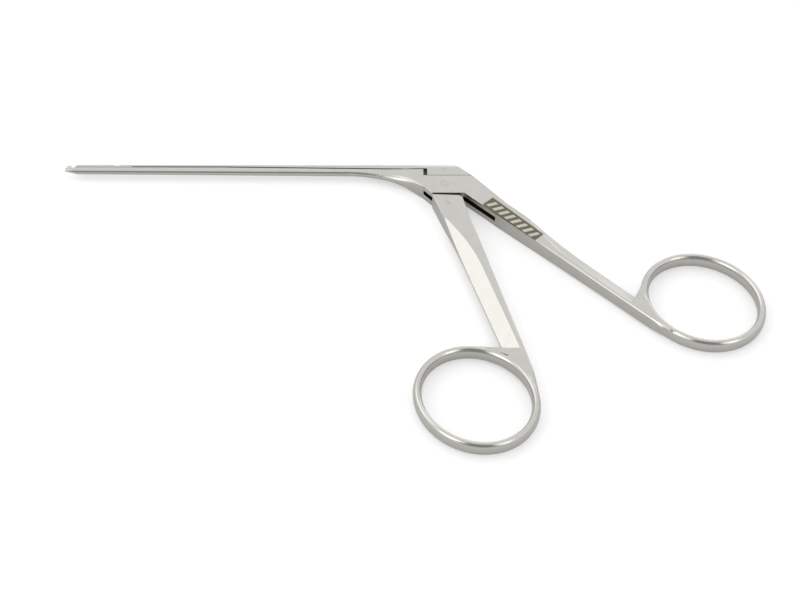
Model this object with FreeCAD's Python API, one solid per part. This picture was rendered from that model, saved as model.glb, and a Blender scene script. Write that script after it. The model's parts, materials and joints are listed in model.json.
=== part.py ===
"""Micro punch: a fixed shaft with an upturned foot, a slide that cuts against it, and two ring handles.

Frame of the part: it lies on its side as on a table. +Z is up, the shaft runs along -X, the handles
reach towards -Y. The origin is on the pivot axis, in the plane of the lower flat faces.
"""
import FreeCAD, Part

import math
import os

V = FreeCAD.Vector

# Slab from which body, arm and lever are made
SLAB = 4.1
MID = SLAB / 2
EDGE = 0.25

# Mechanism
TRAVEL = 0.87
CLOSED_GAP = 0.03
DRIVE_HEIGHT = 4.6
PIVOT_PIN = 2.0
DRIVE_PIN = 1.2
RIVET = 1.1
RUNNING_FIT = 0.03
PLATE = 1.2
PLATE_FIT = 0.05
SWING = math.atan(TRAVEL / DRIVE_HEIGHT)

# Body around the pivot
STEP_FRONT = -4.88
STEP_FLOOR = 2.75
CHEEK_FRONT = -3.05
CHEEK_BOTTOM = -3.2
CHEEK_REAR = 4.72
BODY_REAR = 6.6
BODY_CORNER = 0.6
THROAT_ANGLE = math.radians(38)
THROAT_END = -1.1
THROAT_RADIUS = 30.0

# Shaft, from the body to the foot
BACK = 7.4
FLARE = 9.1
SHAFT_LENGTH = 74.35
SHAFT_HALF_ROOT = 0.9
SHAFT_HALF_TIP = 0.72
SHAFT_DEPTH_ROOT = 1.2
SHAFT_DEPTH_TIP = 1.38
BACK_ROUND_BAR = 0.25
BACK_ROUND_BODY = 1.9
BELLY_SHARE = 0.95
FLAT_TIP = 6.5
FLAT_ROOT = 5.95
FLAT_LAND = 4.85
LAND_LENGTH = 4.9
FLAT_TURN = 36.0

# Foot at the tip, with the nose below it
FOOT = 1.05
FOOT_HEIGHT = 0.75
FOOT_CHIN = 0.25
NOSE = 1.45
NOSE_TOP = 0.15
NOSE_DEPTH = 0.7
NOSE_SHARE = 0.45

# Slide
JAW_GAP = TRAVEL + CLOSED_GAP
BAR_GAP = 0.25
LAND_GAP = 0.2
SLIDE_FIT = 0.06
HEAD_LENGTH = 8.85
HEAD_BEVEL = 0.78
HEAD_BEVEL_DROP = 0.55
NOTCH_DEPTH = 0.45
NOTCH_STEEP = 0.9
NOTCH_SHALLOW = 2.0
PAD = 1.8
PAD_STEP = 0.08
PAD_RAMP = 0.16
BLOCK_TOP = 1.6
BLOCK_CORNER = 1.5
BLOCK_REAR = 6.45

# Dovetail guide under the cutting head
LUG_SETBACK = 2.9
LUG_LENGTH = 4.6
LUG_DEPTH = 0.32
LUG_NECK = 0.42
LUG_BASE = 0.66
LUG_FIT = 0.04
LUG_END_ROOM = 0.1

# Slot for the drive plate, in the body and under the block
SLOT_OPEN_REAR = 3.4
SLOT_REAR_FLOOR = 0.6
SLOT_ARM_REACH = 9.6
SLOT_ARM_DEPTH = 1.9
POCKET_HALF = 1.95
POCKET_TOP = 6.25

# Drive plate and its seat in the lever
PLATE_EYE = 2.05
PLATE_HEAD = 1.25
PLATE_NECK_HALF = 1.15
TANG_TOP = -0.9
TANG_BOTTOM = -9.0
TANG_TOP_FRONT = -1.7
TANG_TOP_REAR = 1.9
TANG_BOTTOM_FRONT = 0.45
TANG_BOTTOM_REAR = 3.7
TANG_CORNER = 0.5
TANG_FIT = 0.02
RIVET_X = 0.62
RIVET_Y = -6.2

# Lever
LEVER_TOP = -3.65
LEVER_TOP_FALL = 0.32
LEVER_FRONT = -3.0
LEVER_REAR = 4.0
LEVER_CORNER = 0.3
LEVER_SHOULDER = 1.3
LEVER_INNER = (4.45, -6.3)
LEVER_ANGLE = math.radians(-74.65)
LEVER_WIDTH = 5.9
LEVER_WIDTH_END = 4.4
LEVER_START = 3.0
LEVER_FACET_START = 3.3
LEVER_FACET = 3.4
LEVER_RING_AT = 56.3
LEVER_RING_TWIST = math.radians(-17.15)
LEVER_RING_INSET = 0.6

# Arm
ARM_INNER = (CHEEK_REAR, CHEEK_BOTTOM)
ARM_ANGLE = math.radians(-44.45)
ARM_WIDTH = 4.25
ARM_WIDTH_END = 3.5
ARM_START = 9.4
ARM_FACET_START = 16.9
ARM_FACET = 2.9
ARM_RING_AT = 60.13
ARM_RING_TWIST = math.radians(-5.85)
ARM_RING_INSET = 0.14

# Shank sections, shared by arm and lever
FACET_FIRST = 0.04
FACET_RUNOUT = 18.0
OUTER_LAND = 0.25
FACET_END_SLANT = 0.25
CHAMFER = 0.28
CHAMFER_FIRST = 0.06
CHAMFER_RUNOUT = 9.0
SHANK_HALF_END = 1.72
SHANK_STATIONS = 14
THROAT_STATIONS = 12
FLARE_POINTS = 8

# Finger rings, and where the shank runs out into them
RING_HALF_LENGTH = 13.72
RING_HALF_WIDTH = 12.13
RING_RADIAL = 1.91
RING_AXIAL = 3.55
RING_STATIONS = 24
MERGE_PAST = 2.0
MERGE_POWER = 2.5
MERGE_HALF = 1.6
MERGE_CHAMFER = 0.6
MERGE_EDGE = 1.35
MERGE_STATIONS = 8
NECK_SETBACK = 1.5
HORN = 5.0

# Room beyond the part for tools that cut right through
BEYOND = 1.0

# Places along the shaft that follow from the dimensions above
FLARE_FRONT = STEP_FRONT - FLARE
THROAT_FRONT = FLARE_FRONT - FLARE
FOOT_REAR = FLARE_FRONT - SHAFT_LENGTH
FOOT_FRONT = FOOT_REAR - FOOT
NOSE_ROOT = FOOT_REAR + NOSE
NOSE_END = FOOT_REAR - NOSE
SLIDE_FRONT = FOOT_REAR + JAW_GAP
HEAD_REAR = SLIDE_FRONT + HEAD_LENGTH
BLOCK_FRONT = STEP_FRONT + JAW_GAP
LAND_FRONT = STEP_FRONT - LAND_LENGTH
THROAT_SLOPE = -math.tan(THROAT_ANGLE)


def ease(share):
    """Smooth step from 0 to 1."""
    share = min(max(share, 0.0), 1.0)
    return share * share * (3 - 2 * share)


def mix(first, last, share):
    """Value between first and last."""
    return first + (last - first) * share


def outline(points):
    """Closed wire in the XY plane through points (x, y) or (x, y, corner radius)."""
    corners = []
    for i, point in enumerate(points):
        here = V(point[0], point[1], 0)
        radius = point[2] if len(point) > 2 else 0.0
        if radius <= 0:
            corners.append((here, here, here))
            continue
        after = points[(i + 1) % len(points)]
        back = V(points[i - 1][0], points[i - 1][1], 0) - here
        on = V(after[0], after[1], 0) - here
        back.normalize()
        on.normalize()
        half = back.getAngle(on) / 2
        middle = back + on
        middle.normalize()
        reach = radius / math.tan(half)
        summit = here + middle * (radius / math.sin(half) - radius)
        corners.append((here + back * reach, summit, here + on * reach))
    edges = []
    for i, (start, summit, end) in enumerate(corners):
        following = corners[(i + 1) % len(corners)][0]
        if (end - start).Length > 1e-6:
            edges.append(Part.Arc(start, summit, end).toShape())
        if (following - end).Length > 1e-6:
            edges.append(Part.LineSegment(end, following).toShape())
    return Part.Wire(edges)


def prism(points, low=0.0, high=SLAB):
    """Outline pulled up from height low to height high."""
    face = Part.Face(outline(points))
    face.translate(V(0, 0, low))
    return face.extrude(V(0, 0, high - low))


def plate(points, thickness):
    """Outline made into a plate at middle height."""
    return prism(points, MID - thickness / 2, MID + thickness / 2)


def pin(x, y, diameter, thickness=SLAB):
    """Upright round pin, or the hole for one, at middle height."""
    return Part.makeCylinder(diameter / 2, thickness, V(x, y, MID - thickness / 2))


def box(x0, x1, y0, y1, thickness):
    """Box at middle height between two corners."""
    return Part.makeBox(x1 - x0, y1 - y0, thickness, V(x0, y0, MID - thickness / 2))


def turned_height(x, corner, slope_before, slope_after, radius):
    """Height at x of two falling lines that meet at corner (x, y), joined by an arc."""
    angle_before = math.atan(slope_before)
    angle_after = math.atan(slope_after)
    reach = radius * math.tan((angle_before - angle_after) / 2)
    start = corner[0] - reach * math.cos(angle_before)
    end = corner[0] + reach * math.cos(angle_after)
    if x <= start:
        return corner[1] + slope_before * (x - corner[0])
    if x >= end:
        return corner[1] + slope_after * (x - corner[0])
    centre_x = start + radius * math.sin(angle_before)
    centre_y = corner[1] + slope_before * (start - corner[0]) - radius * math.cos(angle_before)
    return centre_y + math.sqrt(radius * radius - (x - centre_x) ** 2)


def half_width(x):
    """Half thickness of shaft and body at x: a slight taper, then an eased flare to the slab."""
    if x <= FLARE_FRONT:
        return mix(SHAFT_HALF_TIP, SHAFT_HALF_ROOT, (x - FOOT_REAR) / SHAFT_LENGTH)
    return flared(SHAFT_HALF_ROOT, MID, x)


def flared(first, last, x):
    """Value that changes along the flare as the thickness does."""
    return mix(first, last, ease((x - FLARE_FRONT) / FLARE))


def flare_line(lift, x0, x1):
    """Points on the parting line in the flare, raised by lift, from x0 to x1."""
    pitch = (x1 - x0) / FLARE_POINTS
    places = [x0 + pitch * i for i in range(FLARE_POINTS + 1)]
    return [(x, flared(FLAT_ROOT, FLAT_LAND, x) + lift) for x in places]


def belly(x):
    """Lowest line of the shaft and throat at x."""
    tip = FLAT_TIP - SHAFT_DEPTH_TIP
    slope = (FLAT_ROOT - SHAFT_DEPTH_ROOT - tip) / SHAFT_LENGTH
    throat = THROAT_END - THROAT_SLOPE * STEP_FRONT
    corner_x = (tip - slope * FOOT_REAR - throat) / (THROAT_SLOPE - slope)
    corner = (corner_x, throat + THROAT_SLOPE * corner_x)
    return turned_height(x, corner, slope, THROAT_SLOPE, THROAT_RADIUS)


def shaft_section(x, bottom=None, half=None):
    """Rounded cross-section of shaft and slide together at x."""
    bottom = belly(x) if bottom is None else bottom
    half = half_width(x) if half is None else half
    share = ease((x - FLARE_FRONT) / FLARE)
    top_round = min(mix(BACK_ROUND_BAR, BACK_ROUND_BODY, share), half * BELLY_SHARE)
    low_round = mix(half * BELLY_SHARE, EDGE, share * share)
    corners = [
        (bottom, -half, low_round),
        (BACK, -half, top_round),
        (BACK, half, top_round),
        (bottom, half, low_round),
    ]
    wire = outline(corners)
    wire.rotate(V(0, 0, 0), V(1, 1, 1), 120)
    wire.translate(V(x, 0, MID))
    return wire


def shaft_form():
    """Outer form of shaft and slide bar together, from the nose to the step."""
    nose = shaft_section(NOSE_END, FLAT_TIP - NOSE_DEPTH, SHAFT_HALF_TIP * NOSE_SHARE)
    tip = Part.makeLoft([nose, shaft_section(NOSE_ROOT)], True, True)
    straight = Part.makeLoft([shaft_section(NOSE_ROOT), shaft_section(THROAT_FRONT)], True, True)
    pitch = (STEP_FRONT - THROAT_FRONT) / THROAT_STATIONS
    # Two stations past the step keep the curve straight where it is cut off
    sections = [shaft_section(THROAT_FRONT + pitch * i) for i in range(THROAT_STATIONS + 3)]
    flare = Part.makeLoft(sections, True, False)
    return tip.fuse([straight, flare]).removeSplitter()


class Shank:
    """Handle between the body and its finger ring, in coordinates of its own.

    s runs along the straight inner edge, q from that edge to the outer one.
    """

    def __init__(self, inner, angle, side, widths, span, facets, ring_twist, ring_inset):
        self.origin = V(inner[0], inner[1], 0)
        self.along = V(math.cos(angle), math.sin(angle), 0)
        self.outward = V(-side * self.along.y, side * self.along.x, 0)
        self.widths = widths
        self.start, self.ring_at = span
        self.facet_start, self.facet_width = facets
        self.twist = side * ring_twist
        self.inset = ring_inset
        self.turn = math.degrees(angle + ring_twist)
        self.ring_out = ring_inset + math.hypot(
            (RING_HALF_LENGTH + RING_RADIAL / 2) * math.sin(self.twist),
            (RING_HALF_WIDTH + RING_RADIAL / 2) * math.cos(self.twist),
        )
        self.corner = self.ring_edge(widths[1])
        self.neck = self.corner - NECK_SETBACK
        self.end = self.ring_at + MERGE_PAST

    def place(self, s, q, z=0.0):
        """Point of the part at s and q, at height z above the lower faces."""
        return self.origin + self.along * s + self.outward * q + V(0, 0, z)

    def flat(self, s, q):
        """Point (x, y) for an outline."""
        point = self.place(s, q)
        return (point.x, point.y)

    def ring_edge(self, q, grow=RING_RADIAL / 2):
        """Place s at which the ring begins at distance q: its outer edge, or a line inside it."""
        dq = q - self.ring_out
        c = math.cos(self.twist)
        n = math.sin(self.twist)
        a2 = (RING_HALF_LENGTH + grow) ** 2
        b2 = (RING_HALF_WIDTH + grow) ** 2
        along = c * c / a2 + n * n / b2
        mixed = 2 * n * c * (1 / a2 - 1 / b2) * dq
        rest = (n * n / a2 + c * c / b2) * dq * dq - 1
        return self.ring_at - (mixed + math.sqrt(mixed * mixed - 4 * along * rest)) / (2 * along)

    def section(self, s, facet):
        """Eight-cornered section at s: flat faces, inner chamfers and two outer facets."""
        share = min((s - self.start) / (self.corner - self.start), 1.0)
        width = mix(self.widths[0], self.widths[1], share)
        merge = max((s - self.corner) / (self.end - self.corner), 0.0)
        inset = self.inset * merge**MERGE_POWER
        fade = ease(2 * merge - 1)
        half = mix(mix(MID, SHANK_HALF_END, ease(share)), MERGE_HALF, fade)
        run = min(max((s - self.facet_start) / CHAMFER_RUNOUT, 0.0), 1.0)
        chamfer = mix(CHAMFER_FIRST, CHAMFER, run)
        upper = [
            (inset, half - mix(chamfer, MERGE_EDGE, fade)),
            (inset + mix(chamfer, MERGE_CHAMFER, fade), half),
            (width - facet, half),
            (width, mix(half, OUTER_LAND, facet / self.facet_width)),
        ]
        corners = [self.place(s, q, MID + up) for q, up in upper]
        corners += [self.place(s, q, MID - up) for q, up in reversed(upper)]
        return Part.makePolygon(corners + corners[:1])

    def facet(self, s):
        """Width of the outer facets at s: they run out in a curve towards the body."""
        run = min(max((s - self.facet_start) / FACET_RUNOUT, 0.0), 1.0)
        return mix(FACET_FIRST, self.facet_width, 1 - (1 - run) ** 2)

    def horn(self):
        """Flat that runs out along the ring, from the shank's outer edge into the ring."""
        q = self.widths[1]
        far = q + HORN
        points = [
            self.flat(self.neck, q),
            self.flat(self.ring_edge(far, RING_RADIAL / 4), far),
            self.flat(self.corner + RING_RADIAL, q - RING_RADIAL),
        ]
        return prism(points, MID - SHANK_HALF_END, MID + SHANK_HALF_END)

    def root_zone(self):
        """Space in which the shank has no facets: it begins on a slanted line before the ring."""
        wide = self.widths[1] + BEYOND
        return prism(
            [
                self.flat(self.neck - FACET_END_SLANT * BEYOND, wide),
                self.flat(self.neck + FACET_END_SLANT * wide, -BEYOND),
                self.flat(self.end + BEYOND, -BEYOND),
                self.flat(self.end + BEYOND, wide),
            ]
        )

    def root(self):
        """Part of the shank that runs out into the ring."""
        first = self.neck - BEYOND
        straight = [self.section(first, FACET_FIRST), self.section(self.corner, FACET_FIRST)]
        pitch = (self.end - self.corner) / MERGE_STATIONS
        places = [self.corner + pitch * i for i in range(MERGE_STATIONS + 1)]
        curve = Part.makeLoft([self.section(s, FACET_FIRST) for s in places], True, False)
        return Part.makeLoft(straight, True, True).common(self.root_zone()).fuse(curve)

    def solid(self):
        """Shank from the body into the ring."""
        plain = [self.section(self.start, FACET_FIRST), self.section(self.facet_start, FACET_FIRST)]
        lead = Part.makeLoft(plain, True, True)
        stop = self.corner + BEYOND
        pitch = (stop - self.facet_start) / SHANK_STATIONS
        places = [self.facet_start + pitch * i for i in range(SHANK_STATIONS + 1)]
        shank = Part.makeLoft([self.section(s, self.facet(s)) for s in places], True, False)
        shank = shank.cut(self.root_zone())
        return lead.fuse([shank, self.root(), self.horn()]).cut(self.hole())

    def set_ring(self, shape):
        """Shape made round the origin, moved and turned to the middle of the ring."""
        shape.rotate(V(0, 0, 0), V(0, 0, 1), self.turn)
        shape.translate(self.place(self.ring_at, self.ring_out))
        return shape

    def ring(self):
        """Finger ring: an oval section swept round an oval."""
        wires = []
        for i in range(RING_STATIONS):
            t = 2 * math.pi * i / RING_STATIONS
            middle = V(RING_HALF_LENGTH * math.cos(t), RING_HALF_WIDTH * math.sin(t), MID)
            outward = V(RING_HALF_WIDTH * math.cos(t), RING_HALF_LENGTH * math.sin(t), 0)
            outward.normalize()
            top = middle + V(0, 0, RING_AXIAL / 2)
            side = middle + outward * (RING_RADIAL / 2)
            wires.append(Part.Wire([Part.Ellipse(top, side, middle).toShape()]))
        return self.set_ring(Part.makeLoft(wires, True, False, True))

    def hole(self):
        """Free space inside the ring's middle line, through the whole slab."""
        edge = Part.Ellipse(V(RING_HALF_LENGTH, 0, 0), V(0, RING_HALF_WIDTH, 0), V(0, 0, 0)).toShape()
        return self.set_ring(Part.Face(Part.Wire([edge])).extrude(V(0, 0, SLAB)))


ARM = Shank(
    inner=ARM_INNER,
    angle=ARM_ANGLE,
    side=1,
    widths=(ARM_WIDTH, ARM_WIDTH_END),
    span=(ARM_START, ARM_RING_AT),
    facets=(ARM_FACET_START, ARM_FACET),
    ring_twist=ARM_RING_TWIST,
    ring_inset=ARM_RING_INSET,
)
LEVER = Shank(
    inner=LEVER_INNER,
    angle=LEVER_ANGLE,
    side=-1,
    widths=(LEVER_WIDTH, LEVER_WIDTH_END),
    span=(LEVER_START, LEVER_RING_AT),
    facets=(LEVER_FACET_START, LEVER_FACET),
    ring_twist=-LEVER_RING_TWIST,
    ring_inset=LEVER_RING_INSET,
)


def fixed_profile():
    """Side outline of everything fixed in front of the step."""
    low = CHEEK_BOTTOM - BEYOND
    return [
        (NOSE_END - BEYOND, low),
        (NOSE_END - BEYOND, FLAT_TIP - NOSE_TOP),
        (FOOT_FRONT, FLAT_TIP + FOOT_CHIN),
        (FOOT_FRONT, FLAT_TIP + FOOT_HEIGHT),
        (FOOT_REAR, FLAT_TIP + FOOT_HEIGHT),
        (FOOT_REAR, FLAT_TIP),
        (FOOT_REAR + FLAT_TURN, FLAT_TIP),
        *flare_line(0, FLARE_FRONT, STEP_FRONT),
        (STEP_FRONT, low),
    ]


def slide_profile():
    """Side outline of the slide in front of the step."""
    notch = HEAD_REAR + NOTCH_STEEP
    pad_front = notch + NOTCH_SHALLOW
    pad_rear = pad_front + PAD
    return [
        (SLIDE_FRONT, FLAT_TIP + SLIDE_FIT),
        (SLIDE_FRONT, BACK - HEAD_BEVEL_DROP),
        (SLIDE_FRONT + HEAD_BEVEL, BACK),
        (HEAD_REAR, BACK),
        (notch, BACK - NOTCH_DEPTH),
        (pad_front, BACK),
        (pad_rear, BACK),
        (pad_rear + PAD_RAMP, BACK - PAD_STEP),
        (FLARE_FRONT, BACK - PAD_STEP),
        (FLARE_FRONT + PAD_RAMP, BACK),
        (STEP_FRONT, BACK),
        *reversed(flare_line(LAND_GAP, LAND_FRONT, STEP_FRONT)),
        *reversed(flare_line(BAR_GAP, FLARE_FRONT, LAND_FRONT)),
        (FOOT_REAR + FLAT_TURN, FLAT_TIP + BAR_GAP),
        (pad_rear, FLAT_TIP + BAR_GAP),
        (pad_rear, FLAT_TIP + SLIDE_FIT),
    ]


def dovetail(x0, x1, clearance=0.0):
    """Rail along X under the head that widens downwards, or with a clearance the groove for it."""
    top = FLAT_TIP + SLIDE_FIT
    bottom = FLAT_TIP - LUG_DEPTH
    neck = LUG_NECK / 2 + clearance
    base = LUG_BASE / 2 + clearance
    corners = [
        V(x0, top, MID - neck),
        V(x0, top, MID + neck),
        V(x0, bottom, MID + base),
        V(x0, bottom - clearance, MID + base),
        V(x0, bottom - clearance, MID - base),
        V(x0, bottom, MID - base),
    ]
    if clearance == 0:
        corners = corners[:3] + corners[5:]
    face = Part.Face(Part.makePolygon(corners + corners[:1]))
    return face.extrude(V(x1 - x0, 0, 0))


def guide_groove():
    """Groove for the dovetail, with the wider window through which its rail is put in."""
    front = SLIDE_FRONT + LUG_SETBACK - TRAVEL - LUG_END_ROOM
    rear = SLIDE_FRONT + LUG_SETBACK + LUG_LENGTH + LUG_END_ROOM
    floor = FLAT_TIP - LUG_DEPTH - LUG_FIT
    window_rear = rear + LUG_LENGTH + LUG_END_ROOM
    window = box(rear, window_rear, floor, FLAT_TIP + BEYOND, LUG_BASE + 2 * LUG_FIT)
    return dovetail(front, rear, LUG_FIT).fuse(window)


def plate_slot():
    """Slot in the body and the root of the arm, in which the drive plate swings."""
    points = [
        (STEP_FRONT, STEP_FLOOR + BEYOND),
        (SLOT_OPEN_REAR, STEP_FLOOR + BEYOND),
        (SLOT_OPEN_REAR, SLOT_REAR_FLOOR),
        ARM.flat(SLOT_ARM_REACH, SLOT_ARM_DEPTH),
        ARM.flat(SLOT_ARM_REACH, -BEYOND),
        (CHEEK_REAR, CHEEK_BOTTOM - 2 * BEYOND),
        (STEP_FRONT, CHEEK_BOTTOM - 2 * BEYOND),
    ]
    return plate(points, PLATE + 2 * PLATE_FIT)


def make_frame():
    """Fixed half: shaft with its foot, body with step and cheeks, arm and rear ring."""
    front = shaft_form().common(prism(fixed_profile(), -BEYOND, SLAB + BEYOND))
    body = prism(
        [
            (STEP_FRONT, STEP_FLOOR),
            (BODY_REAR, STEP_FLOOR, BODY_CORNER),
            ARM.flat(ARM_START, ARM_WIDTH),
            ARM.flat(ARM_START, 0),
            (CHEEK_REAR, CHEEK_BOTTOM, EDGE),
            (CHEEK_FRONT, CHEEK_BOTTOM, EDGE),
            (STEP_FRONT, belly(STEP_FRONT)),
        ]
    )
    shape = front.cut(guide_groove()).fuse([body, ARM.solid(), ARM.ring()])
    shape = shape.cut(plate_slot()).cut(pin(0, 0, PIVOT_PIN))
    return shape.removeSplitter()


def slide_block():
    """Rear block of the slide: its back is rounded on both sides, its rear end slopes down."""
    under = FLAT_LAND + LAND_GAP
    floor = STEP_FLOOR + SLIDE_FIT
    bar = prism([(STEP_FRONT, floor), (BLOCK_REAR, floor), (BLOCK_REAR, BACK), (STEP_FRONT, BACK)])
    rims = [edge for edge in bar.Edges if edge.BoundBox.ZLength < 1e-6]
    back = [edge for edge in rims if edge.BoundBox.YMin > BACK - EDGE]
    side = prism(
        [
            (STEP_FRONT, under),
            (BLOCK_FRONT, under),
            (BLOCK_FRONT, floor),
            (BLOCK_REAR, floor),
            (BLOCK_TOP, BACK, BLOCK_CORNER),
            (STEP_FRONT, BACK),
        ]
    )
    return bar.makeFillet(BACK_ROUND_BODY, back).common(side)


def make_slide():
    """Moving half: cutting head, thin bar, and the block that the drive pin pulls."""
    bar = shaft_form().common(prism(slide_profile(), -BEYOND, SLAB + BEYOND))
    rail_front = SLIDE_FRONT + LUG_SETBACK
    rail = dovetail(rail_front, rail_front + LUG_LENGTH)
    pocket = box(-POCKET_HALF, POCKET_HALF, 0, POCKET_TOP, PLATE + 2 * PLATE_FIT)
    shape = bar.fuse([slide_block(), rail]).cut(pocket).cut(pin(0, DRIVE_HEIGHT, DRIVE_PIN))
    return shape.removeSplitter()


def tang(clearance=0.0):
    """Lower end of the drive plate, or with a clearance the seat that it fills in the lever."""
    points = [
        (TANG_TOP_FRONT - clearance, TANG_TOP),
        (TANG_TOP_REAR + clearance, TANG_TOP),
        (TANG_BOTTOM_REAR + clearance, TANG_BOTTOM - clearance, TANG_CORNER),
        (TANG_BOTTOM_FRONT - clearance, TANG_BOTTOM - clearance, TANG_CORNER),
    ]
    return plate(points, PLATE + 2 * clearance)


def make_drive_plate():
    """Plate that turns on the pivot pin: tang below, slotted head above."""
    stroke_end = DRIVE_HEIGHT / math.cos(SWING)
    slot = DRIVE_PIN + 2 * RUNNING_FIT
    eye = pin(0, 0, 2 * PLATE_EYE, PLATE)
    neck = box(-PLATE_NECK_HALF, PLATE_NECK_HALF, 0, stroke_end, PLATE)
    head = pin(0, stroke_end, 2 * PLATE_HEAD, PLATE)
    openings = [
        pin(0, 0, PIVOT_PIN + 2 * RUNNING_FIT),
        pin(0, DRIVE_HEIGHT, slot),
        pin(0, stroke_end, slot),
        box(-slot / 2, slot / 2, DRIVE_HEIGHT, stroke_end, PLATE),
        pin(RIVET_X, RIVET_Y, RIVET),
    ]
    return eye.fuse([neck, head, tang()]).cut(openings).removeSplitter()


def make_lever():
    """Front handle: shoulder with the seat for the plate, shank and front ring."""
    shoulder = prism(
        [
            (LEVER_FRONT, LEVER_TOP, LEVER_CORNER),
            (LEVER_REAR, LEVER_TOP - LEVER_TOP_FALL, LEVER_SHOULDER),
            LEVER.flat(LEVER_START, 0),
            LEVER.flat(LEVER_START, LEVER_WIDTH),
        ]
    )
    shape = shoulder.fuse([LEVER.solid(), LEVER.ring()])
    return shape.cut([tang(TANG_FIT), pin(RIVET_X, RIVET_Y, RIVET)]).removeSplitter()


def make_parts():
    """Every piece by name."""
    return {
        "frame": make_frame(),
        "slide": make_slide(),
        "lever": make_lever(),
        "drive_plate": make_drive_plate(),
        "pivot_pin": pin(0, 0, PIVOT_PIN),
        "drive_pin": pin(0, DRIVE_HEIGHT, DRIVE_PIN),
        "plate_rivet": pin(RIVET_X, RIVET_Y, RIVET),
    }


def main():
    """Write one file for each piece."""
    os.makedirs("parts", exist_ok=True)
    for name, shape in make_parts().items():
        print(name, "valid", shape.isValid(), "solids", len(shape.Solids), "volume %.2f" % shape.Volume)
        shape.exportStep("parts/%s.step" % name)


main()
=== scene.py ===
"""Looks of a micro punch: satin steel handles, shaft and slide on a white table in studio light.

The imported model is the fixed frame: metres, +Z up, the shaft along -X, the handles towards -Y.
"""

import json
import logging
import math
from dataclasses import dataclass, field
from enum import Enum
from typing import Any, Iterable

import bmesh
import bpy
from mathutils import Matrix, Vector
from mathutils.bvhtree import BVHTree

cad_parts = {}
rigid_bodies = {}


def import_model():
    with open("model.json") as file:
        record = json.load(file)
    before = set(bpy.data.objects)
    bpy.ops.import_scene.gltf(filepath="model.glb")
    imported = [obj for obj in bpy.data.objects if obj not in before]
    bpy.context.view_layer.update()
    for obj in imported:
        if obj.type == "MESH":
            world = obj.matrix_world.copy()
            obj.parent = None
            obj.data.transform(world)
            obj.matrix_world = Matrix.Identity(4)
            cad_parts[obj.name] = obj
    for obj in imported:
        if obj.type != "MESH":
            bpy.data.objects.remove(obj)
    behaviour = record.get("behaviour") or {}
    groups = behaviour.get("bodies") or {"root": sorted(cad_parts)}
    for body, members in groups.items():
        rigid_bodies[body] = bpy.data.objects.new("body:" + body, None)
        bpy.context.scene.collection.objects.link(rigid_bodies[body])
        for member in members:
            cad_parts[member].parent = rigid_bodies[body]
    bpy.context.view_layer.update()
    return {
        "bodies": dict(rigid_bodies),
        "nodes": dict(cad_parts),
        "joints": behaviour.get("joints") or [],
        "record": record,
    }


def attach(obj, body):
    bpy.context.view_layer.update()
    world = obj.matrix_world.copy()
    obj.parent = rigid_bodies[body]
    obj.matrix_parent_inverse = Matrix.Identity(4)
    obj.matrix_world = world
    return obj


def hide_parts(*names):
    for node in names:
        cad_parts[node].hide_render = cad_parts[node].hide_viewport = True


MM = 0.001
SLAB_MIDDLE_MM = 2.05
WHITE = (1.0, 1.0, 1.0, 1.0)

# Curve of sRGB: a straight foot, then a power
SRGB_FOOT = 0.04045
SRGB_FOOT_SLOPE = 12.92
SRGB_OFFSET = 0.055
SRGB_POWER = 2.4

# Sockets of the Mix node by number, because several of them share a name
FACTOR, VALUE_A, VALUE_B, COLOUR_A, COLOUR_B = 0, 2, 3, 6, 7
MIXED_COLOUR = 2

# Length after which the wave texture repeats at a scale of 1
WAVE_PERIOD = math.pi / 10

log = logging.getLogger("micro_punch")

Point = tuple[float, float, float]
Frame = dict[str, Any]
Tree = bpy.types.NodeTree
Socket = bpy.types.NodeSocket


def linear(hex_colour: str) -> tuple[float, float, float, float]:
    """Turn an sRGB hex colour into linear values.

    Args:
        hex_colour: Six hex digits, such as "C9C7C2".

    Returns:
        Linear red, green, blue and an alpha of 1.
    """
    bent = []
    for start in (0, 2, 4):
        value = int(hex_colour[start : start + 2], 16) / 255
        if value <= SRGB_FOOT:
            bent.append(value / SRGB_FOOT_SLOPE)
        else:
            bent.append(((value + SRGB_OFFSET) / (1 + SRGB_OFFSET)) ** SRGB_POWER)
    return (bent[0], bent[1], bent[2], 1.0)


def in_metres(place_mm: Iterable[float]) -> tuple[float, ...]:
    """Turn a place in millimetres into metres."""
    return tuple(value * MM for value in place_mm)


def add(tree: Tree, kind: str, inputs: dict[Any, Any] | None = None, **settings: Any) -> Any:
    """Add a node with its settings, its values and its links.

    Args:
        tree: Node tree that gets the node.
        kind: Node type without its first word, such as "Math" for ShaderNodeMath.
        inputs: Input name or number to a value or to the socket that feeds it.
        **settings: Properties of the node.

    Returns:
        The new node.
    """
    node = tree.nodes.new("ShaderNode" + kind)
    for name, value in settings.items():
        setattr(node, name, value)
    for key, value in (inputs or {}).items():
        if isinstance(value, Socket):
            tree.links.new(value, node.inputs[key])
        else:
            node.inputs[key].default_value = value
    return node


def empty_material(name: str) -> tuple[bpy.types.Material, Tree]:
    """Make a node material with nothing in its tree.

    Args:
        name: Name of the material.

    Returns:
        The material and its node tree.
    """
    material = bpy.data.materials.new(name)
    material.use_nodes = True
    material.node_tree.nodes.clear()
    return material, material.node_tree


class Grain(Enum):
    """Direction in which a surface was brushed, as degrees from +X."""

    SHAFT = 0.0
    ARM = -44.45
    LEVER = -74.65
    ACROSS = 90.0


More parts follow.
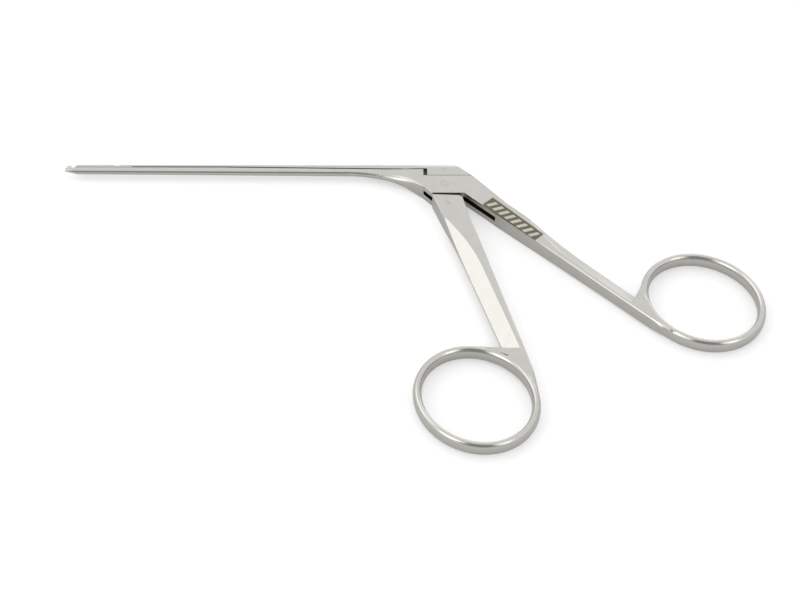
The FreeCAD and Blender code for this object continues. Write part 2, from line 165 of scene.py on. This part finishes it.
@dataclass(frozen=True)
class Brushing:
    """Fine scratches from a polishing belt.

    The real ones are about 0.02 mm apart. They are drawn 0.16 mm apart, as coarse as they need to
    show.
    """

    along: Grain = Grain.SHAFT
    spacing_mm: float = 0.16
    length_mm: float = 5.0
    depth_mm: float = 0.003
    detail: float = 2.0

    def height(self, tree: Tree, place: Socket) -> Socket:
        """Noise drawn out along the belt's direction.

        Args:
            tree: Node tree of the finish.
            place: Place on the piece, in metres.

        Returns:
            Height of the scratches, from 0 to 1.
        """
        turn = (0, 0, -math.radians(self.along.value))
        turned = add(tree, "Mapping", {"Vector": place, "Rotation": turn}).outputs[0]
        across = 1 / (self.spacing_mm * MM)
        scale = (1 / (self.length_mm * MM), across, across)
        drawn = add(tree, "Mapping", {"Vector": turned, "Scale": scale}).outputs[0]
        noise = add(tree, "TexNoise", {"Vector": drawn, "Scale": 1.0, "Detail": self.detail})
        return noise.outputs["Fac"]


@dataclass(frozen=True)
class PolishedRing:
    """Zone round a finger ring that was buffed on a mop: no scratches, and sharper reflections."""

    centre: Point
    reach_mm: float = 15.2
    fade_mm: float = 3.0
    roughness: float = 0.15

    def share(self, tree: Tree, place: Socket) -> Socket:
        """Share of buffed surface at each point.

        Args:
            tree: Node tree of the finish.
            place: Place on the piece, in metres.

        Returns:
            The share: 1 at the ring, 0 away from it.
        """
        ends = {0: place, 1: self.centre}
        away = add(tree, "VectorMath", ends, operation="DISTANCE").outputs["Value"]
        reach = {"From Min": (self.reach_mm + self.fade_mm) * MM, "From Max": self.reach_mm * MM}
        fade = add(tree, "MapRange", {"Value": away, **reach}, interpolation_type="SMOOTHSTEP")
        return fade.outputs[0]


@dataclass(frozen=True)
class EtchedPanel:
    """Dark oxide panel marked by laser, with plain slanted bars left bright in it.

    The laser's heat leaves a thin brown oxide that is rougher than the steel round it.
    """

    centre_mm: Point = (15.6, -11.9, 0.0)
    size_mm: tuple[float, float] = (16.4, 3.4)
    angle: float = -46.6
    blur_mm: float = 0.12
    # Only the arm's upper face, which lies above this height, is marked
    face_mm: float = 3.9
    bar_pitch_mm: float = 1.75
    bar_slant: float = 24.0
    # Heights of the bars' wave at which an edge starts and ends
    bar_low: float = 0.42
    bar_high: float = 0.62
    bar_strength: float = 0.95
    # Plain rim of the panel, outside the bars
    margin_mm: float = 0.62
    colour: str = "6E6A57"
    roughness: float = 0.45

    def mask(self, tree: Tree, place: Socket) -> Socket:
        """Share of oxide at each point, from 0 to 1.

        Args:
            tree: Node tree of the finish.
            place: Place on the piece, in metres.

        Returns:
            The mask, which is 0 off the upper face of the arm.
        """
        inputs = {
            "Vector": place,
            "Location": in_metres(self.centre_mm),
            "Rotation": (0, 0, math.radians(self.angle)),
        }
        own = add(tree, "Mapping", inputs, vector_type="TEXTURE").outputs[0]
        cut = {0: self.bars(tree, own), 1: self.window(tree, own, self.margin_mm)}
        bars = add(tree, "Math", cut, operation="MULTIPLY").outputs[0]
        weaker = {0: bars, 1: self.bar_strength}
        bars = add(tree, "Math", weaker, operation="MULTIPLY").outputs[0]
        rest = {0: self.window(tree, own, 0.0), 1: bars}
        dark = add(tree, "Math", rest, operation="SUBTRACT", use_clamp=True).outputs[0]
        height = add(tree, "SeparateXYZ", {0: place}).outputs["Z"]
        level = {0: height, 1: self.face_mm * MM}
        upper = add(tree, "Math", level, operation="GREATER_THAN").outputs[0]
        return add(tree, "Math", {0: dark, 1: upper}, operation="MULTIPLY").outputs[0]

    def window(self, tree: Tree, own: Socket, margin_mm: float) -> Socket:
        """Soft-edged rectangle, smaller than the panel by a margin.

        Args:
            tree: Node tree of the finish.
            own: Place in the panel's own axes, in metres.
            margin_mm: Width left out on each side.

        Returns:
            The mask: 1 inside the rectangle, 0 outside.
        """
        half = [side / 2 - margin_mm for side in self.size_mm]
        size = add(tree, "VectorMath", {0: own}, operation="ABSOLUTE").outputs[0]
        # The third axis isn't used: its two limits only have to differ
        spare_start, spare_end = 1.0, 0.9
        limits = {
            "From_Min_FLOAT3": (*in_metres(side + self.blur_mm for side in half), spare_start),
            "From_Max_FLOAT3": (*in_metres(side - self.blur_mm for side in half), spare_end),
        }
        soft = add(tree, "MapRange", data_type="FLOAT_VECTOR", interpolation_type="SMOOTHSTEP")
        tree.links.new(size, soft.inputs["Vector"])
        for item in soft.inputs:
            if item.identifier in limits:
                item.default_value = limits[item.identifier]
        sides = add(tree, "SeparateXYZ", {0: soft.outputs["Vector"]}).outputs
        return add(tree, "Math", {0: sides["X"], 1: sides["Y"]}, operation="MULTIPLY").outputs[0]

    def bars(self, tree: Tree, own: Socket) -> Socket:
        """Slanted bars at a fixed pitch across the panel.

        Args:
            tree: Node tree of the finish.
            own: Place in the panel's own axes, in metres.

        Returns:
            The mask: 1 on a bar, 0 between two.
        """
        slant = {"Vector": own, "Rotation": (0, 0, math.radians(self.bar_slant))}
        slanted = add(tree, "Mapping", slant).outputs[0]
        scale = WAVE_PERIOD / (self.bar_pitch_mm * MM)
        wave = add(tree, "TexWave", {"Vector": slanted, "Scale": scale}).outputs["Fac"]
        edges = {"Value": wave, "From Min": self.bar_low, "From Max": self.bar_high}
        return add(tree, "MapRange", edges).outputs[0]


@dataclass(frozen=True)
class SatinSteel:
    """Martensitic stainless steel, belt-brushed to a satin: soft streaks, clear reflections."""

    name: str
    colour: str = "CCCAC5"
    shade: str = "C4C2BC"
    roughness: float = 0.22
    roughness_spread: float = 0.05
    mottle_mm: float = 3.0
    mottle_detail: float = 3.0
    brushing: Brushing = field(default_factory=Brushing)
    panel: EtchedPanel | None = None
    ring: PolishedRing | None = None

    def build(self) -> bpy.types.Material:
        """Make the material.

        Returns:
            Node material of this finish.
        """
        material, tree = empty_material(self.name)
        place = add(tree, "TexCoord").outputs["Object"]
        scratches = self.brushing.height(tree, place)
        scale = 1 / (self.mottle_mm * MM)
        mottle = {"Vector": place, "Scale": scale, "Detail": self.mottle_detail}
        clouds = add(tree, "TexNoise", mottle).outputs["Fac"]
        shades = {FACTOR: clouds, COLOUR_A: linear(self.colour), COLOUR_B: linear(self.shade)}
        colour = add(tree, "Mix", shades, data_type="RGBA").outputs[MIXED_COLOUR]
        limits = {
            "To Min": self.roughness - self.roughness_spread,
            "To Max": self.roughness + self.roughness_spread,
        }
        roughness = add(tree, "MapRange", {"Value": scratches, **limits}).outputs[0]
        depth: Any = 1.0
        if self.ring is not None:
            share = self.ring.share(tree, place)
            buffed = {FACTOR: share, VALUE_A: roughness, VALUE_B: self.ring.roughness}
            roughness = add(tree, "Mix", buffed).outputs[0]
            depth = add(tree, "Math", {0: 1.0, 1: share}, operation="SUBTRACT").outputs[0]
        if self.panel is not None:
            mask = self.panel.mask(tree, place)
            oxide = {FACTOR: mask, COLOUR_A: colour, COLOUR_B: linear(self.panel.colour)}
            colour = add(tree, "Mix", oxide, data_type="RGBA").outputs[MIXED_COLOUR]
            rough = {FACTOR: mask, VALUE_A: roughness, VALUE_B: self.panel.roughness}
            roughness = add(tree, "Mix", rough).outputs[0]
        relief = {"Height": scratches, "Strength": depth, "Distance": self.brushing.depth_mm * MM}
        normal = add(tree, "Bump", relief).outputs[0]
        surface = {
            "Base Color": colour,
            "Roughness": roughness,
            "Normal": normal,
            "Metallic": 1.0,
        }
        steel = add(tree, "BsdfPrincipled", surface)
        add(tree, "OutputMaterial", {"Surface": steel.outputs[0]})
        return material


@dataclass(frozen=True)
class SlotShadeSteel:
    """Painted shade for the faces inside the slot: dark, rough and dull steel, standing in for the
    shade deep in the slot.
    """

    name: str = "painted_shade_slot_steel"
    # Painted shade: dark colours for the slot's faces, in place of the shade inside the slot
    colour: str = "4A4844"
    shade: str = "33312D"
    roughness: float = 0.55
    # Size of the random blotches in the painted shade
    shade_blotch_mm: float = 0.25

    def build(self) -> bpy.types.Material:
        """Make the material.

        Returns:
            Node material of this finish.
        """
        material, tree = empty_material(self.name)
        place = add(tree, "TexCoord").outputs["Object"]
        scale = 1 / (self.shade_blotch_mm * MM)
        marks = add(tree, "TexNoise", {"Vector": place, "Scale": scale}).outputs["Fac"]
        shades = {FACTOR: marks, COLOUR_A: linear(self.colour), COLOUR_B: linear(self.shade)}
        colour = add(tree, "Mix", shades, data_type="RGBA").outputs[MIXED_COLOUR]
        surface = {"Base Color": colour, "Roughness": self.roughness, "Metallic": 1.0}
        steel = add(tree, "BsdfPrincipled", surface)
        add(tree, "OutputMaterial", {"Surface": steel.outputs[0]})
        return material


@dataclass(frozen=True)
class SlotShadeZone:
    """Space of the slot in the body, in which every face gets painted shade, a dark material for
    the shade inside the slot.
    """

    half_mm: float = 0.66
    front_mm: float = -5.0
    rear_mm: float = 13.2

    def holds(self, face: bmesh.types.BMFace) -> bool:
        """Say whether the whole face lies in the slot.

        Args:
            face: Face of the body, in metres.

        Returns:
            True if the slot holds it.
        """
        middle = face.calc_center_median() / MM
        heights = [abs(vert.co.z / MM - SLAB_MIDDLE_MM) for vert in face.verts]
        return max(heights) < self.half_mm and self.front_mm < middle.x < self.rear_mm


@dataclass
class Piece:
    """A machined piece: the frame's solid with its sharp edges broken as a polisher leaves them."""

    node: str
    body: str
    slot: str
    edge_mm: float = 0.1
    segments: int = 2
    # Edges bent more than this are broken
    edge_angle: float = 30.0
    # Edges bent more than this stay crisp beside a face broader than this
    crease_angle: float = 15.0
    broad_mm: float = 0.35
    # Corners nearer than this, and faces bent less than this, are joined
    weld_mm: float = 0.004
    flat_angle: float = 0.3
    # Farthest that a broken edge may stand off the solid, as a share of its width
    reach_share: float = 0.3
    # Zone whose faces get the second material, painted shade
    painted_shade_zone: SlotShadeZone | None = None

    def build(self, frame: Frame, materials: Iterable[bpy.types.Material]) -> bpy.types.Object:
        """Copy the node's mesh, break its edges and put it in the node's place.

        Args:
            frame: The loaded frame.
            materials: Materials of the new piece, the main one first, then the painted shade of the
                slot zone.

        Returns:
            The new piece, which rides on its body.
        """
        name = self.node + "_finished"
        mesh = frame["nodes"][self.node].data.copy()
        mesh.name = name
        mesh.materials.clear()
        for material in materials:
            mesh.materials.append(material)
        self.clean(mesh)
        piece = bpy.data.objects.new(name, mesh)
        bpy.context.scene.collection.objects.link(piece)
        bevel = piece.modifiers.new("edges", "BEVEL")
        bevel.width = self.edge_mm * MM
        bevel.segments = self.segments
        bevel.limit_method = "ANGLE"
        bevel.angle_limit = math.radians(self.edge_angle)
        bevel.use_clamp_overlap = False
        self.apply(piece)
        self.settle(piece.data, mesh)
        normals = piece.modifiers.new("normals", "WEIGHTED_NORMAL")
        normals.keep_sharp = True
        self.apply(piece)
        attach(piece, self.body)
        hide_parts(self.node)
        log.info("%s: %d faces", piece.name, len(piece.data.polygons))
        return piece

    def clean(self, mesh: bpy.types.Mesh) -> None:
        """Join the triangles of flat faces, mark the zone of painted shade, and keep shallow edges
        crisp.

        Args:
            mesh: Copy of the node's mesh, which is changed.
        """
        form = bmesh.new()
        form.from_mesh(mesh)
        bmesh.ops.remove_doubles(form, verts=form.verts, dist=self.weld_mm * MM)
        flat = math.radians(self.flat_angle)
        bmesh.ops.dissolve_limit(form, angle_limit=flat, verts=form.verts, edges=form.edges)
        for face in form.faces:
            # Faces in the slot get the second material: painted shade
            dark = self.painted_shade_zone is not None and self.painted_shade_zone.holds(face)
            face.material_index = 1 if dark else 0
            face.smooth = True
        for edge in form.edges:
            broad = any(self.is_broad(face) for face in edge.link_faces)
            bent = edge.calc_face_angle(0.0) > math.radians(self.crease_angle)
            edge.smooth = not (broad and bent)
        form.to_mesh(mesh)
        form.free()

    def settle(self, finished: bpy.types.Mesh, solid: bpy.types.Mesh) -> None:
        """Put corners that the rounding threw too far back onto the solid, and all into its box.

        Args:
            finished: Mesh with broken edges, which is changed.
            solid: Mesh before its edges were broken.
        """
        corners = [vert.co for vert in solid.vertices]
        surface = BVHTree.FromPolygons(corners, [tuple(face.vertices) for face in solid.polygons])
        reach = self.edge_mm * self.reach_share * MM
        limits = [(min(values), max(values)) for values in zip(*corners)]
        for vert in finished.vertices:
            nearest, _, _, distance = surface.find_nearest(vert.co)
            place = nearest if distance > reach else vert.co
            vert.co = [min(max(value, low), high) for value, (low, high) in zip(place, limits)]
        finished.update()

    def is_broad(self, face: bmesh.types.BMFace) -> bool:
        """Say whether a face is a facet of its own, not one strip of a curve."""
        longest = max(edge.calc_length() for edge in face.edges)
        return face.calc_area() > self.broad_mm * MM * longest

    def apply(self, piece: bpy.types.Object) -> None:
        """Put the result of the piece's modifiers into its mesh.

        Args:
            piece: The new piece, which gets a new mesh.
        """
        graph = bpy.context.evaluated_depsgraph_get()
        done = bpy.data.meshes.new_from_object(piece.evaluated_get(graph))
        piece.modifiers.clear()
        piece.data = done


@dataclass
class FixedHalf:
    """Shaft with foot, body, arm and rear ring, and the pin through the cheeks."""

    edge_mm: float = 0.09
    pin_edge_mm: float = 0.05

    def build(self, frame: Frame, ring: Vector) -> None:
        """Dress the fixed half.

        Args:
            frame: The loaded frame.
            ring: Centre of the rear finger ring.
        """
        # Satin that runs along the arm, bright at the ring, with the dark panel
        steel = SatinSteel(
            "satin_steel_arm",
            brushing=Brushing(Grain.ARM),
            panel=EtchedPanel(),
            ring=PolishedRing(tuple(ring)),
        )
        # Faces inside the slot get a dark material: painted shade for the shade deep in the slot
        body = Piece("frame", "base", "satin_steel", self.edge_mm, painted_shade_zone=SlotShadeZone())
        body.build(frame, [steel.build(), SlotShadeSteel().build()])
        # Ground flush with the cheeks: hardly darker, so that only a hint of its edge shows
        pin = SatinSteel("ground_steel_pin", colour="C6C4BF", brushing=Brushing(Grain.ARM))
        Piece("pivot_pin", "base", "pin_steel", self.pin_edge_mm).build(frame, [pin.build()])


@dataclass
class MovingSlide:
    """Cutting head, thin bar and rear block, and the pin that drives them."""

    edge_mm: float = 0.06
    pin_edge_mm: float = 0.05

    def build(self, frame: Frame) -> None:
        """Dress the slide.

        Args:
            frame: The loaded frame.
        """
        # Satin that runs along the bar
        steel = SatinSteel("satin_steel_slide", brushing=Brushing(Grain.SHAFT))
        Piece("slide", "slide", "satin_steel", self.edge_mm).build(frame, [steel.build()])
        # Ground flush with the block: hardly darker than it
        pin = SatinSteel(
            "ground_steel_drive_pin", colour="C6C4BF", brushing=Brushing(Grain.SHAFT)
        )
        Piece("drive_pin", "slide", "pin_steel", self.pin_edge_mm).build(frame, [pin.build()])


@dataclass
class FrontHandle:
    """Lever with its ring, the drive plate in it and the rivet that holds the plate."""

    edge_mm: float = 0.09
    edge_angle: float = 40.0
    plate_edge_mm: float = 0.03
    rivet_edge_mm: float = 0.05

    def build(self, frame: Frame, ring: Vector) -> None:
        """Dress the front handle.

        Args:
            frame: The loaded frame.
            ring: Centre of the front finger ring.
        """
        # Satin that runs along the lever, bright at the ring
        steel = SatinSteel(
            "satin_steel_lever",
            brushing=Brushing(Grain.LEVER),
            ring=PolishedRing(tuple(ring)),
        )
        handle = Piece("lever", "lever", "satin_steel", self.edge_mm, edge_angle=self.edge_angle)
        handle.build(frame, [steel.build()])
        # Surface-ground plate: greyer and duller, with short marks across it
        ground = SatinSteel(
            "ground_steel_plate",
            colour="A9A7A1",
            shade="9A9892",
            roughness=0.32,
            brushing=Brushing(Grain.ACROSS, length_mm=2.0),
        )
        plate = Piece("drive_plate", "lever", "plate_steel", self.plate_edge_mm)
        plate.build(frame, [ground.build()])
        # Hammered over, then brushed with the lever: a faint round spot
        peened = SatinSteel(
            "peened_steel_rivet",
            colour="C3C1BB",
            shade="BBB9B3",
            roughness=0.3,
            brushing=Brushing(Grain.LEVER),
        )
        rivet = Piece("plate_rivet", "lever", "pin_steel", self.rivet_edge_mm)
        rivet.build(frame, [peened.build()])


@dataclass
class Patch:
    """Part of the studio that is lighter or darker than the rest, such as a soft box."""

    azimuth: float
    elevation: float
    radius: float
    softness: float
    strength: float

    def light(self, tree: Tree, direction: Socket) -> Socket:
        """Light that the patch adds in each direction.

        Args:
            tree: Node tree of the world.
            direction: Direction of the ray.

        Returns:
            The patch's strength inside its radius, and 0 beyond its soft edge.
        """
        e = math.radians(self.elevation)
        a = math.radians(self.azimuth)
        towards = (math.cos(e) * math.cos(a), math.cos(e) * math.sin(a), math.sin(e))
        both = {0: direction, 1: towards}
        cosine = add(tree, "VectorMath", both, operation="DOT_PRODUCT").outputs["Value"]
        limits = {
            "From Min": math.cos(math.radians(self.radius + self.softness)),
            "From Max": math.cos(math.radians(self.radius)),
            "To Max": self.strength,
        }
        share = add(tree, "MapRange", {"Value": cosine, **limits}, interpolation_type="SMOOTHSTEP")
        return share.outputs[0]


@dataclass
class Studio:
    """White table and soft light."""

    base_light: float = 1.0
    # Brightness of the room itself, where the camera looks past the table
    backdrop: float = 1.0
    floor_reach_mm: float = 4000.0
    floor_drop_mm: float = 0.02
    # White of the board, and the greyer white that the steel reflects
    board_white: float = 0.95
    board_mirrored: float = 0.66
    # Glow of the board, and its share as the camera and as the steel see it
    glow: float = 1.3
    seen_share: float = 0.3
    mirrored_share: float = 0.1
    patches: tuple[Patch, ...] = (
        # Dark room in front: it gives the rings their dark band
        Patch(azimuth=-95, elevation=28, radius=20, softness=26, strength=-0.66),
        # Two soft boxes in front: crisp bright spots on rings and chamfers
        Patch(azimuth=-142, elevation=30, radius=15, softness=8, strength=1.2),
        Patch(azimuth=-54, elevation=31, radius=12, softness=7, strength=1.2),
        # White wall behind on the left: it makes the lever's outer facet cream
        Patch(azimuth=150, elevation=38, radius=20, softness=8, strength=0.62),
        # White wall behind on the right: it lifts the arm's outer facet a little
        Patch(azimuth=75, elevation=4, radius=16, softness=16, strength=0.8),
    )

    def build(self) -> None:
        """Make the floor and the light."""
        self.world()
        self.floor()

    def world(self) -> None:
        """Soft light from all round, with lighter and darker parts for the steel to show."""
        world = bpy.data.worlds.new("studio")
        bpy.context.scene.world = world
        world.use_nodes = True
        tree = world.node_tree
        tree.nodes.clear()
        direction = add(tree, "TexCoord").outputs["Generated"]
        level: Any = self.base_light
        for patch in self.patches:
            light = patch.light(tree, direction)
            level = add(tree, "Math", {0: level, 1: light}, operation="ADD").outputs[0]
        seen = add(tree, "LightPath").outputs["Is Camera Ray"]
        shown = {FACTOR: seen, VALUE_A: level, VALUE_B: self.backdrop}
        strength = add(tree, "Mix", shown).outputs[0]
        back = add(tree, "Background", {"Color": WHITE, "Strength": strength})
        add(tree, "OutputWorld", {"Surface": back.outputs[0]})

    def floor(self) -> None:
        """Large white table just below the punch."""
        reach = self.floor_reach_mm * MM
        mesh = bpy.data.meshes.new("table")
        corners = [(-reach, -reach, 0), (reach, -reach, 0), (reach, reach, 0), (-reach, reach, 0)]
        mesh.from_pydata(corners, [], [(0, 1, 2, 3)])
        mesh.materials.append(self.board())
        table = bpy.data.objects.new("table", mesh)
        table.location.z = -self.floor_drop_mm * MM
        bpy.context.scene.collection.objects.link(table)

    def board(self) -> bpy.types.Material:
        """White matt board that stays white to the eye and in reflections, and keeps the shadow.

        Returns:
            Node material of the board.
        """
        material, tree = empty_material("white_board")
        path = add(tree, "LightPath").outputs
        tones = {
            FACTOR: path["Is Glossy Ray"],
            VALUE_A: self.board_white,
            VALUE_B: self.board_mirrored,
        }
        tone = add(tree, "Mix", tones).outputs[0]
        matt = add(tree, "BsdfDiffuse", {"Color": tone}).outputs[0]
        glow = add(tree, "Emission", {"Color": WHITE, "Strength": self.glow}).outputs[0]
        shares = {
            "Is Camera Ray": self.seen_share,
            "Is Transmission Ray": self.seen_share,
            "Is Glossy Ray": self.mirrored_share,
        }
        share: Any = 0.0
        for kind, part in shares.items():
            step = {0: path[kind], 1: part, 2: share}
            share = add(tree, "Math", step, operation="MULTIPLY_ADD").outputs[0]
        both = add(tree, "MixShader", {0: share, 1: matt, 2: glow})
        add(tree, "OutputMaterial", {"Surface": both.outputs[0]})
        return material


@dataclass
class View:
    """Camera at the photograph's viewing angle."""

    target_mm: Point = (-10.30, -35.55, SLAB_MIDDLE_MM)
    distance_mm: float = 426.0
    elevation: float = 47.0
    roll: float = 0.2
    lens_mm: float = 86.27
    sensor_mm: float = 36.0
    near_mm: float = 10.0
    far_mm: float = 50000.0

    def build(self) -> None:
        """Make the camera and set it as the scene's own."""
        data = bpy.data.cameras.new("camera")
        data.lens = self.lens_mm
        data.sensor_width = self.sensor_mm
        data.clip_start = self.near_mm * MM
        data.clip_end = self.far_mm * MM
        camera = bpy.data.objects.new("camera", data)
        bpy.context.scene.collection.objects.link(camera)
        turn = Matrix.Rotation(math.radians(90 - self.elevation), 4, "X")
        turn = turn @ Matrix.Rotation(math.radians(self.roll), 4, "Z")
        back = turn.to_3x3() @ Vector((0, 0, self.distance_mm * MM))
        place = Vector(in_metres(self.target_mm)) + back
        camera.matrix_world = Matrix.Translation(place) @ turn
        bpy.context.scene.camera = camera


def mount_place(frame: Frame, name: str) -> Vector:
    """Place of a named mount of the record."""
    found = [mount for mount in frame["record"]["mounts"] if mount["name"] == name]
    return Vector(found[0]["pos_m"])


def main() -> None:
    """Build the studio, the camera and every piece."""
    logging.basicConfig(level=logging.INFO, format="%(name)s: %(message)s")
    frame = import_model()
    bpy.context.scene.view_settings.view_transform = "Standard"
    View().build()
    Studio().build()
    FixedHalf().build(frame, mount_place(frame, "rear_finger_ring"))
    MovingSlide().build(frame)
    FrontHandle().build(frame, mount_place(frame, "front_finger_ring"))


if __name__ == "__main__":
    main()
